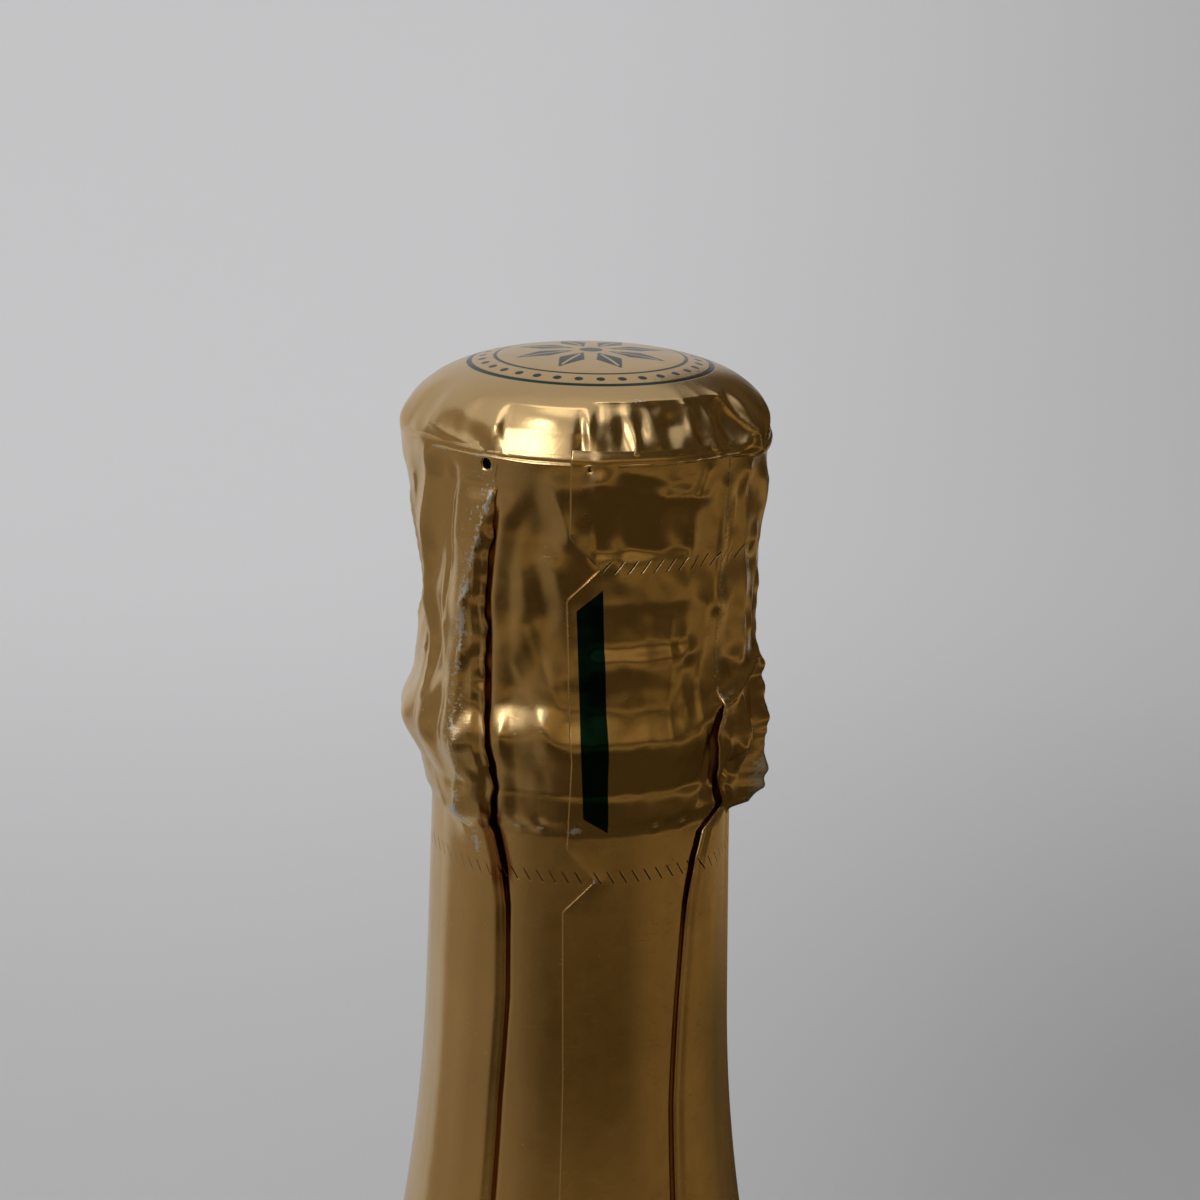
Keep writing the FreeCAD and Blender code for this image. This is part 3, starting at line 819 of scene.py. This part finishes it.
class Recipe:
    """A material's node tree."""

    def __init__(self, name):
        self.material = bpy.data.materials.new(name)
        self.material.use_nodes = True
        self.tree = self.material.node_tree
        self.tree.nodes.clear()
        self.output = self.node("ShaderNodeOutputMaterial", {}, {})

    def node(self, kind, settings, inputs):
        """Adds a node, sets its settings and then feeds its sockets, named by name or number."""
        node = self.tree.nodes.new(kind)
        for key, value in settings.items():
            setattr(node, key, value)
        for key, value in inputs.items():
            self.feed(node.inputs[key], value)
        return node

    def feed(self, socket, value):
        """Links a value's socket, or sets a plain number, colour or vector."""
        if isinstance(value, Value):
            self.tree.links.new(value.socket, socket)
        elif isinstance(value, bpy.types.NodeSocket):
            self.tree.links.new(value, socket)
        elif isinstance(value, (int, float)):
            socket.default_value = value
        else:
            plain = tuple(value)
            size = len(socket.default_value)
            socket.default_value = (*plain, 1.0) if size > len(plain) else plain

    def place(self):
        """The three object coordinates, in millimetres."""
        spot = self.node("ShaderNodeTexCoord", {}, {}).outputs["Object"]
        scaled = self.node("ShaderNodeVectorMath", {"operation": "SCALE"}, {0: spot, "Scale": 1 / MM})
        return scaled.outputs[0]

    def split(self, vector):
        """A vector's three numbers."""
        parts = self.node("ShaderNodeSeparateXYZ", {}, {0: vector})
        return [Value(self, socket) for socket in parts.outputs]

    def attribute(self, name):
        """A number kept at the piece's vertices."""
        node = self.node("ShaderNodeAttribute", {"attribute_name": name}, {})
        return Value(self, node.outputs["Fac"])

    def noise(self, vector, scale, detail=2.0, roughness=0.5, stretch=None):
        if stretch:
            vector = self.node("ShaderNodeMapping", {}, {"Vector": vector, "Scale": stretch}).outputs[0]
        inputs = {"Vector": vector, "Scale": scale, "Detail": detail, "Roughness": roughness}
        return Value(self, self.node("ShaderNodeTexNoise", {}, inputs).outputs["Fac"])

    def mix(self, factor, first, second):
        """Blends two colours."""
        settings = {"data_type": "RGBA", "blend_type": "MIX"}
        return self.node("ShaderNodeMix", settings, {"Factor": factor, 6: first, 7: second}).outputs[2]

    def bump(self, height, distance, strength=1.0):
        inputs = {"Height": height, "Distance": distance, "Strength": strength}
        return self.node("ShaderNodeBump", {}, inputs).outputs[0]

    def surface(self, **sockets):
        """Finishes the material with one shader, whose sockets are named with _ for a space."""
        inputs = {name.replace("_", " "): value for name, value in sockets.items()}
        shader = self.node("ShaderNodeBsdfPrincipled", {}, inputs)
        self.feed(self.output.inputs["Surface"], shader.outputs[0])
        return self.material


def finish(piece, material, slot, *nodes):
    """Gives a piece its material, the body it rides and the CAD nodes it stands for. Its slot is not used."""
    piece.data.materials.clear()
    piece.data.materials.append(material)
    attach(piece, "root")
    for node in nodes:
        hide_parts(node)


def foil_colours(recipe, spot, wear, look):
    """The gold's slow change of tone, with bare metal where it is worn through and painted shade in the gap
    colour where the value is below zero.
    """
    cloud = recipe.noise(spot, 0.12, 3.0)
    gold = recipe.mix(cloud.rises(0.3, 0.7), look.gold, [shade * 0.93 for shade in look.gold])
    grit = recipe.noise(spot, 2.6, 3.0, 0.65)
    worn = (wear + (grit - 0.5) * 1.9).rises(0.80, 1.0)
    speck = recipe.noise(spot, 1.9, 1.0, 0.5).rises(0.80, 0.84)
    bare = worn.most(speck * 0.4)
    # painted shade: below zero the gold is darkened towards the gap colour
    gold = recipe.mix((wear * -1.0).rises(0.05, 0.95), gold, look.gap)
    return recipe.mix(bare, gold, look.bare_metal), bare, grit


# print on the hood: the stripe's middle at a depth and its drift, its half width, and its slanting ends
STRIPE_MIDDLE = (0.44, 12.0, 0.054)
STRIPE_HALF = (1.28, 1.20)
STRIPE_TOP = (0.8, 12.9, 13.0)
STRIPE_BOTTOM = (0.65, 34.6, 34.5)
# rows of slits as (depth, spacing, slant), and where across the foil the upper row starts and stops
UPPER_SLITS = (9.9, 1.25, -0.8)
LOWER_SLITS = (39.7, 1.35, 0.7)
UPPER_SLITS_FROM = (1.0, 2.2)
UPPER_SLITS_TO = (22.0, 20.0)
SLIT_LIP = 0.13
SLIT_SHADE = (0.05, 0.03, 0.01)
FOIL_GRAIN = 0.03


def printed_stripe(across, down):
    """The stripe drifts right down the hood, and its ends are cut on the slant."""
    start, depth, drift = STRIPE_MIDDLE
    aside = across - (start + (down - depth) * drift)
    top_slant, *top = STRIPE_TOP
    bottom_slant, *bottom = STRIPE_BOTTOM
    stripe = abs(aside).rises(*STRIPE_HALF) * (down + aside * top_slant).rises(*top)
    return stripe * (down - aside * bottom_slant).rises(*bottom)


def hood_material(look):
    """Gold foil with the printed stripe and two rows of slanting slits, each with a painted highlight along
    its lip.
    """
    recipe = Recipe("gold_foil_hood")
    spot = recipe.place()
    sheet = recipe.node("ShaderNodeUVMap", {"uv_map": "sheet"}, {}).outputs[0]
    across, down, _ = recipe.split(sheet)
    colour, bare, grit = foil_colours(recipe, spot, recipe.attribute("wear"), look)
    stripe = printed_stripe(across, down)
    before_side = across.rises(*UPPER_SLITS_TO)
    upper = slit_row(across, down, *UPPER_SLITS) * across.rises(*UPPER_SLITS_FROM) * before_side
    slits = upper + slit_row(across, down, *LOWER_SLITS)
    # painted highlight: a pale line beside each slit, where its lip would catch the light
    beside = across - SLIT_LIP
    lip_highlights = slit_row(beside, down, *LOWER_SLITS) + slit_row(beside, down, *UPPER_SLITS)
    inked = recipe.mix(stripe, colour, look.ink)
    lip_highlighted = recipe.mix(lip_highlights * (1 - stripe) * before_side * 0.6, inked, look.lip)
    scratch = recipe.noise(spot, 1.0, 2.0, 0.6, (0.9, 0.9, 9.0)).rises(0.66, 0.74)
    height = (grit - 0.5) * 0.15 - slits * 1.2 + scratch * 0.15
    fine = recipe.noise(spot, 0.8, 2.0, 0.55, (1.0, 1.0, 0.5))
    return recipe.surface(
        Base_Color=recipe.mix(slits, lip_highlighted, SLIT_SHADE),
        Metallic=1.0,
        Roughness=look.satin + bare * 0.30 + (fine - 0.5) * 0.1,
        Normal=recipe.bump(height + fine * 0.5, FOIL_GRAIN * MM),
    )


def slit_row(across, down, depth, spacing, slant):
    """A row of short slanting cuts round the foil. A positive slant leans them to the left."""
    below = down - depth
    leaning = (across - below * slant) / spacing
    gap = abs(leaning.fraction() - 0.5) * spacing
    return gap.rises(0.10, 0.04) * abs(below).rises(0.62, 0.5)


def cap_material(look):
    """Gold foil with the printed ornament."""
    recipe = Recipe("gold_foil_cap")
    spot = recipe.place()
    colour, bare, grit = foil_colours(recipe, spot, recipe.attribute("wear"), look)
    ink = ornament(recipe, spot)
    fine = recipe.noise(spot, 0.8, 2.0, 0.55)
    return recipe.surface(
        Base_Color=recipe.mix(ink, colour, look.ink),
        Metallic=1.0,
        Roughness=look.satin + bare * 0.30 + (fine - 0.5) * 0.08,
        Normal=recipe.bump((grit - 0.5) * 0.15 + fine * 0.5 - ink * 0.4, FOIL_GRAIN * MM),
    )


# the cap's ornament, in millimetres from its middle
PRINT_FROM = (2.0, 2.6)
OUTER_RING = 11.3
INNER_RING = 8.9
BEAD_RING = 10.1
BEADS = 32.0
PETALS = 8.0
PETAL_MIDDLE = 4.6
PETAL_HALF = 2.9
PETAL_WIDTH = 1.25


def ornament(recipe, spot):
    """The cap's print: two rings, a ring of beads between them and an eight-petalled rosette."""
    x, y, z = recipe.split(spot)
    on_top = z.rises(*(RIM_HEIGHT + height for height in PRINT_FROM))
    reach = (x * x + y * y).math("SQRT")
    turn = y.math("ARCTAN2", x) / math.tau
    outer = abs(reach - OUTER_RING).rises(0.30, 0.20)
    inner = abs(reach - INNER_RING).rises(0.20, 0.12)
    bead_across = abs((turn * BEADS).fraction() - 0.5) * (math.tau * BEAD_RING / BEADS)
    bead_out = reach - BEAD_RING
    beads = (bead_across * bead_across + bead_out * bead_out).rises(0.20, 0.12)
    petal_across = abs((turn * PETALS).fraction() - 0.5) * (math.tau / PETALS) * reach
    petal_along = abs(reach - PETAL_MIDDLE)
    petal_room = (1 - petal_along / PETAL_HALF).most(0.0)
    petals = (petal_across - petal_room * PETAL_WIDTH).rises(0.08, -0.08) * petal_along.rises(PETAL_HALF, 2.7)
    vein = (petal_across - 0.14).rises(0.04, -0.04) * petal_along.rises(2.2, 2.1)
    middle = reach.rises(1.15, 1.0)
    return outer.most(inner).most(beads).most(petals * (1 - vein)).most(middle) * on_top


def glass_material(look):
    """Dark green glass with slow flow marks, a little dust and a paler foot."""
    recipe = Recipe("green_bottle_glass")
    spot = recipe.place()
    _, _, height = recipe.split(spot)
    flow = recipe.noise(spot, 0.035, 2.0, 0.5, (1.0, 1.0, 0.4))
    speck = recipe.noise(spot, 0.9, 2.0, 0.6)
    dust = speck.rises(0.62, 0.78) * 0.10
    deep = recipe.mix(flow.rises(0.3, 0.7), look.glass, [shade * 0.8 for shade in look.glass])
    foot = height.rises(9.0, 1.0) * 0.25
    return recipe.surface(
        Base_Color=recipe.mix(foot, deep, (0.10, 0.20, 0.08)),
        Roughness=0.035 + dust,
        IOR=1.46,
        Transmission_Weight=0.6,
        Coat_Weight=0.4,
        Normal=recipe.bump(flow, 0.6 * MM, 0.25),
    )


# the label's print, in millimetres in from its edges
LABEL_TURN = 59
GOLD_LINE = 2.2
GREEN_LINE = 3.6
BAND_UP = 16
BAND_HALF = 5.0


def label_material(look):
    """Ivory paper with a gold and a green line round it and a green band, and no text."""
    recipe = Recipe("ivory_label_paper")
    spot = recipe.place()
    x, y, z = recipe.split(spot)
    low, high = (corner[2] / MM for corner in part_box("front_label"))
    half = math.radians(LABEL_TURN) * BODY_RADIUS
    across = x.math("ARCTAN2", y * -1.0) * BODY_RADIUS
    edge = (half - abs(across)).least((z - low).least(high - z))
    gold_line = abs(edge - GOLD_LINE).rises(0.45, 0.35)
    green_line = abs(edge - GREEN_LINE).rises(0.25, 0.18)
    within = edge.rises(GREEN_LINE - 0.1, GREEN_LINE)
    band = abs(z - (low + BAND_UP)).rises(BAND_HALF, BAND_HALF - 0.1) * within
    fibre = recipe.noise(spot, 1.4, 4.0, 0.6)
    paper = recipe.mix(fibre.rises(0.3, 0.7), look.paper, [shade * 0.95 for shade in look.paper])
    green = recipe.mix(green_line.most(band), paper, look.ink_on_paper)
    return recipe.surface(
        Base_Color=recipe.mix(gold_line, green, look.gold),
        Metallic=gold_line * 0.9,
        Roughness=0.62 - gold_line * 0.3,
        Normal=recipe.bump(fibre, 0.03 * MM, 0.5),
    )


# ---------------------------------------------------------------- the studio

CAMERA_AWAY = 281.5
CAMERA_ABOVE = 55.45
CAMERA_ASIDE = 1.4
CAMERA_DOWN = 14.41
CAMERA_ROLL = 1.4
VIEW_ANGLE = 22.14


def camera():
    """The camera close above the neck, looking down at it, with a slight roll."""
    data = bpy.data.cameras.new("camera")
    data.sensor_width = 36.0
    data.angle = math.radians(VIEW_ANGLE)
    data.clip_start = 0.01
    piece = bpy.data.objects.new("camera", data)
    bpy.context.scene.collection.objects.link(piece)
    tilt = Matrix.Rotation(math.radians(90 - CAMERA_DOWN), 4, "X")
    roll = Matrix.Rotation(math.radians(CAMERA_ROLL), 4, "Z")
    place = Vector((CAMERA_ASIDE, -CAMERA_AWAY, RIM_HEIGHT + CAMERA_ABOVE)) * MM
    piece.matrix_world = Matrix.Translation(place) @ tilt @ roll
    bpy.context.scene.camera = piece


# metres: the floor's reach to each side, where it starts to curve up, the curve's radius and the wall's top
FLOOR_REACH = 6.0
FLOOR_ENDS = 0.9
CURVE_ROUND = 0.7
CURVE_STEPS = 12
WALL_TOP = 3.2
# painted shade on the floor nearer the bottle
NEAR_SHADE = (0.60, 0.60, 0.60)


def backdrop(look):
    """One pale sheet that runs back along the floor and curves up into a wall, its colour painted lighter on
    the left and with painted shade near the bottle.
    """
    bm = bmesh.new()
    points = [(-FLOOR_REACH, 0.0)]
    points += arc((FLOOR_ENDS, CURVE_ROUND), CURVE_ROUND, -90, 0, CURVE_STEPS)
    points += [(FLOOR_ENDS + CURVE_ROUND, WALL_TOP)]
    verts = [bm.verts.new((-FLOOR_REACH, along_y, up)) for along_y, up in points]
    edges = [bm.edges.new(pair) for pair in zip(verts, verts[1:])]
    grown = bmesh.ops.extrude_edge_only(bm, edges=edges)["geom"]
    moved = [item for item in grown if isinstance(item, bmesh.types.BMVert)]
    bmesh.ops.translate(bm, verts=moved, vec=(2 * FLOOR_REACH, 0, 0))
    bmesh.ops.recalc_face_normals(bm, faces=bm.faces)
    sheet = made(bm, "backdrop")
    recipe = Recipe("pale_paper_backdrop")
    x, y, z = recipe.split(recipe.node("ShaderNodeTexCoord", {}, {}).outputs["Object"])
    # painted light: the backdrop is painted lighter on the left and darker on the right, and painted shade
    # darkens the floor nearer the bottle, more on the right
    tone = recipe.mix((x - z * 0.3).rises(-0.15, 0.5), look.backdrop_lit_left, look.backdrop_shaded_right)
    near = y.rises(1.15, 0.35) * (0.75 + x.rises(-0.05, 0.25) * 0.6)
    shade = recipe.mix(near, (1.0, 1.0, 1.0), NEAR_SHADE)
    settings = {"data_type": "RGBA", "blend_type": "MULTIPLY"}
    tone = recipe.node("ShaderNodeMix", settings, {"Factor": 1.0, 6: tone, 7: shade}).outputs[2]
    sheet.data.materials.append(recipe.surface(Base_Color=tone, Roughness=0.9, Specular_IOR_Level=0.1))


# metres: the glowing sheet of painted reflections starts before the bottle's foot and runs out to its hanging
# part
CARD_START = 0.07
CARD_REACH = 1.3
CARD_LIFT = 0.004
CARD_LEFT = -118
CARD_RIGHT = 170
CARD_STEPS = 66
# (bearing, height of the hanging part's top)
CARD_TOPS = ((-118, 1.0), (-60, 0.62), (-15, 0.70), (0, 1.4), (12, 2.3), (60, 2.4), (170, 1.3))


def painted_reflection_sheet(look):
    """A dark glowing sheet of painted reflections that only reflections show: it lies before the bottle and
    hangs behind the camera.
    """
    bm = bmesh.new()
    places = ((0, -CARD_START, CARD_LIFT), (0, -CARD_REACH, CARD_LIFT), (0, -CARD_REACH, 1))
    verts = [bm.verts.new(place) for place in places]
    edges = [bm.edges.new(pair) for pair in zip(verts, verts[1:])]
    start = Matrix.Rotation(math.radians(CARD_LEFT), 3, "Z")
    bmesh.ops.rotate(bm, verts=verts, cent=(0, 0, 0), matrix=start)
    sweep = math.radians(CARD_RIGHT - CARD_LEFT)
    bmesh.ops.spin(bm, geom=verts + edges, axis=(0, 0, 1), cent=(0, 0, 0), angle=sweep, steps=CARD_STEPS)
    for vertex in bm.verts:
        if vertex.co.z > 2 * CARD_LIFT:
            vertex.co.z = along(CARD_TOPS, math.degrees(math.atan2(vertex.co.x, -vertex.co.y)))
    card = made(bm, "painted_reflection_sheet")
    card.data.materials.append(reflection_glow_material(look))
    for ray in ("camera", "diffuse", "shadow", "transmission"):
        setattr(card, f"visible_{ray}", False)


def reflection_glow_material(look):
    """The sheet's glow, a painted reflection: dark, with painted light on its far floor, a band on its
    hanging part and its left side.
    """
    recipe = Recipe("painted_reflection_glow")
    spot = recipe.node("ShaderNodeTexCoord", {}, {}).outputs["Object"]
    x, y, height = recipe.split(spot)
    reach = (x * x + y * y).math("SQRT")
    low = height.rises(0.24, 0.1)
    aside = x / (reach + 0.01)
    right = aside.rises(0.6, 0.95).most(y.rises(0.1, 0.4))
    left = aside.rises(-0.38, -0.85) * y.rises(0.9, 0.3)
    # painted reflection: noise that breaks up the glow's tones
    folds = recipe.noise(spot, 2.6, 1.0).rises(0.32, 0.68)
    far = reach.rises(0.92, 1.2) * low
    middling = reach.rises(0.60, 0.80) * reach.rises(1.06, 0.92) * low
    band = height.rises(0.36, 0.62) * height.rises(1.15, 0.85) * (1 - right * 0.9)
    lit = (far * (0.55 - right * 0.5) + band * 0.9 + middling * right * 0.8).least(1.0)
    tone = recipe.mix(lit * (0.6 + folds * 0.4) + folds * 0.05, look.card, look.card_lit)
    tone = recipe.mix(left * (0.55 + folds * 0.45), tone, look.card_window_glow)
    glow = recipe.node("ShaderNodeEmission", {}, {"Color": tone, "Strength": 1.0})
    recipe.feed(recipe.output.inputs["Surface"], glow.outputs[0])
    return recipe.material


def softbox(name, place, target, size, power):
    """A white rectangular lamp that faces its target."""
    data = bpy.data.lights.new(name, "AREA")
    data.shape = "RECTANGLE"
    data.size, data.size_y = size
    data.energy = power
    lamp = bpy.data.objects.new(name, data)
    lamp.location = place
    lamp.rotation_euler = (Vector(place) - Vector(target)).to_track_quat("Z", "Y").to_euler()
    bpy.context.scene.collection.objects.link(lamp)


# (name, place, size, power)
LAMPS = (
    ("high_left", (-0.75, -0.85, 1.05), (0.62, 0.36), 2.9),
    ("overhead", (-0.2, -0.25, 1.5), (0.9, 0.6), 2.0),
)
WORLD_LIGHT = (0.55, 0.55, 0.56)


def world(level):
    """Even light from all round."""
    scene_world = bpy.data.worlds.new("studio")
    scene_world.use_nodes = True
    back = scene_world.node_tree.nodes["Background"]
    back.inputs["Color"].default_value = (*level, 1.0)
    back.inputs["Strength"].default_value = 1.0
    bpy.context.scene.world = scene_world


# ---------------------------------------------------------------- settings, operators and panel


def colour_property(name, description, default):
    """A colour in the panel."""
    return FloatVectorProperty(
        name=name, description=description, default=default, subtype="COLOR", min=0.0, max=1.0, size=3
    )


class BottleLook(PropertyGroup):
    """The colours and finishes that a user would change."""

    gold: colour_property("Gold", "Colour of the foil", (0.74, 0.50, 0.23))
    bare_metal: colour_property("Bare metal", "Colour where the foil is worn through", (0.68, 0.67, 0.65))
    # painted highlight: the pale colour painted along each slit's lip
    lip: colour_property("Slit's lip", "Colour of the raised lip beside each slit", (0.95, 0.80, 0.52))
    # painted shade: the dark colour painted into the foil beside its folds
    gap: colour_property("Gap", "Colour of the foil deep beside its folds", (0.34, 0.14, 0.035))
    ink: colour_property("Ink", "Colour of the print on the foil", (0.006, 0.032, 0.022))
    ink_on_paper: colour_property("Label ink", "Colour of the print on the label", (0.02, 0.10, 0.06))
    glass: colour_property("Glass", "Colour of the bottle glass", (0.018, 0.05, 0.014))
    paper: colour_property("Paper", "Colour of the label paper", (0.80, 0.74, 0.60))
    # painted light: the backdrop's tones on its lit left and its shaded right
    backdrop_lit_left: colour_property("Backdrop, left", "Backdrop colour on the left", (0.93, 0.93, 0.93))
    backdrop_shaded_right: colour_property("Backdrop, right", "Backdrop colour on the right", (0.66, 0.66, 0.66))
    # painted reflection: the glowing tones of the sheet that the foil reflects, dark, lit, and lit from the
    # window's side
    card: colour_property("Dark cloth", "Tone of the cloth that the front reflects", (0.036, 0.025, 0.009))
    card_lit: colour_property("Lit cloth", "Tone of the cloth where light falls on it", (0.46, 0.34, 0.165))
    card_window_glow: colour_property("Cloth, left", "Tone of the cloth on the window's side", (0.28, 0.234, 0.164))
    satin: FloatProperty(name="Satin", description="Roughness of the foil", default=0.25, min=0.0, max=1.0)


class BOTTLE_OT_foil_hood(Operator):
    """Makes the pleated foil hood"""

    bl_idname = "bottle.foil_hood"
    bl_label = "Foil hood"

    def execute(self, context):
        look = context.scene.bottle_look
        finish(foil_hood(), hood_material(look), "gold_foil", "foil_skirt")
        return {"FINISHED"}


class BOTTLE_OT_foil_cap(Operator):
    """Makes the printed foil cap"""

    bl_idname = "bottle.foil_cap"
    bl_label = "Foil cap"

    def execute(self, context):
        look = context.scene.bottle_look
        finish(foil_cap(), cap_material(look), "cap_foil", "foil_cap")
        return {"FINISHED"}


class BOTTLE_OT_glass(Operator):
    """Makes the glass bottle"""

    bl_idname = "bottle.glass"
    bl_label = "Glass"

    def execute(self, context):
        look = context.scene.bottle_look
        finish(glass_bottle(), glass_material(look), "green_glass", "bottle")
        return {"FINISHED"}


class BOTTLE_OT_label(Operator):
    """Prints the paper label"""

    bl_idname = "bottle.label"
    bl_label = "Label"

    def execute(self, context):
        label = frame["nodes"]["front_label"]
        label.data.materials.clear()
        label.data.materials.append(label_material(context.scene.bottle_look))
        return {"FINISHED"}


class BOTTLE_OT_studio(Operator):
    """Makes the backdrop, the lamps and the camera"""

    bl_idname = "bottle.studio"
    bl_label = "Studio"

    def execute(self, context):
        backdrop(context.scene.bottle_look)
        painted_reflection_sheet(context.scene.bottle_look)
        neck = (0, 0, RIM_HEIGHT * MM)
        for name, place, size, power in LAMPS:
            softbox(name, place, neck, size, power)
        world(WORLD_LIGHT)
        camera()
        context.scene.view_settings.view_transform = "Standard"
        return {"FINISHED"}


OPERATORS = (
    BOTTLE_OT_foil_hood,
    BOTTLE_OT_foil_cap,
    BOTTLE_OT_glass,
    BOTTLE_OT_label,
    BOTTLE_OT_studio,
)


class BOTTLE_PT_panel(Panel):
    """Lists the bottle's pieces and colours"""

    bl_idname = "BOTTLE_PT_panel"
    bl_label = "Sparkling wine bottle"
    bl_space_type = "VIEW_3D"
    bl_region_type = "UI"
    bl_category = "Bottle"

    def draw(self, context):
        for name in BottleLook.__annotations__:
            self.layout.prop(context.scene.bottle_look, name)
        for operator in OPERATORS:
            self.layout.operator(operator.bl_idname)


CLASSES = (BottleLook, *OPERATORS, BOTTLE_PT_panel)


def register():
    for item in CLASSES:
        bpy.utils.register_class(item)
    bpy.types.Scene.bottle_look = PointerProperty(type=BottleLook)


def unregister():
    del bpy.types.Scene.bottle_look
    for item in reversed(CLASSES):
        bpy.utils.unregister_class(item)


def main():
    """Builds every piece and the studio."""
    register()
    bpy.ops.bottle.foil_hood()
    bpy.ops.bottle.foil_cap()
    bpy.ops.bottle.glass()
    bpy.ops.bottle.label()
    bpy.ops.bottle.studio()


if __name__ == "__main__":
    main()
